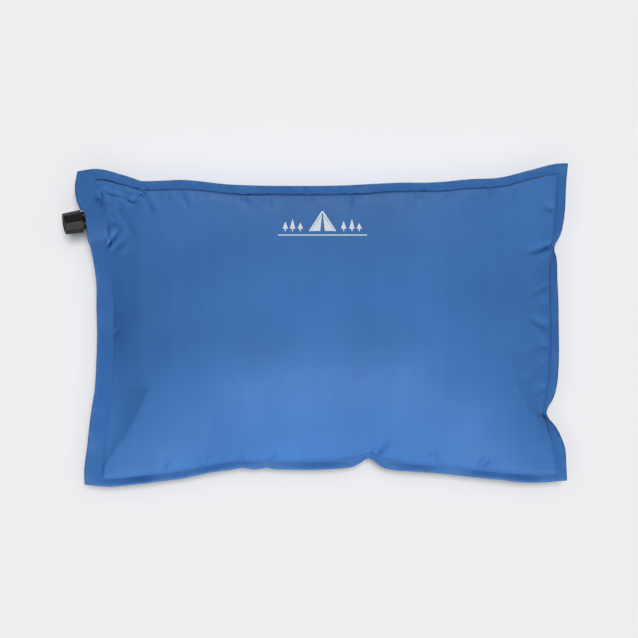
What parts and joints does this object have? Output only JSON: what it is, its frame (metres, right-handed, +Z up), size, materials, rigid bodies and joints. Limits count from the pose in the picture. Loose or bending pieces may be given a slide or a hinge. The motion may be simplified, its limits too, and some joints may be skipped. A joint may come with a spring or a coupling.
{
  "type": "camp pillow",
  "caption": "Self-inflating camp pillow: two welded fabric panels over a foam core, with a screw valve in one short edge that opens as its knob unscrews.",
  "frame": {"origin": "middle of the flat patch on the underside that the inflated pillow rests on", "axes": "+Z up through the thickness, +X along the long side away from the valve, +Y across the pillow towards the long side nearer the valve"},
  "size_m": [0.4951, 0.312, 0.094],
  "materials": {
    "upper_fabric": "matte coated polyester",
    "lower_fabric": "matte coated polyester",
    "weld_film": "fused coating",
    "foam": "open-cell foam",
    "valve_plastic": "satin gloss",
    "post_plastic": "matte",
    "seal_rubber": "smooth",
    "knob_plastic": "fine matte"
  },
  "bodies": {
    "pillow": {"upper_panel": "upper_fabric", "lower_panel": "lower_fabric", "seam_weld": "weld_film", "foam_core": "foam", "valve_body": "valve_plastic", "valve_post": "post_plastic", "stem_o_ring": "seal_rubber"},
    "gasket": {"knob_gasket": "seal_rubber"},
    "knob": {"valve_knob": "knob_plastic"}
  },
  "joints": [
    {"name": "knob_travel", "type": "slide", "parent": "pillow", "child": "gasket", "axis": [-0.9633, -0.1699, 0.2079], "range_m": [0, 0.00403]},
    {"name": "knob_twist", "type": "hinge", "parent": "gasket", "child": "knob", "pos_m": [-0.23252, 0.10303, 0.04683], "axis": [-0.9633, -0.1699, 0.2079], "range_deg": [0, 330]}
  ],
  "couplings": [
    {"joint": "knob_twist", "follows": "knob_travel", "rad_per_m": 1428}
  ]
}
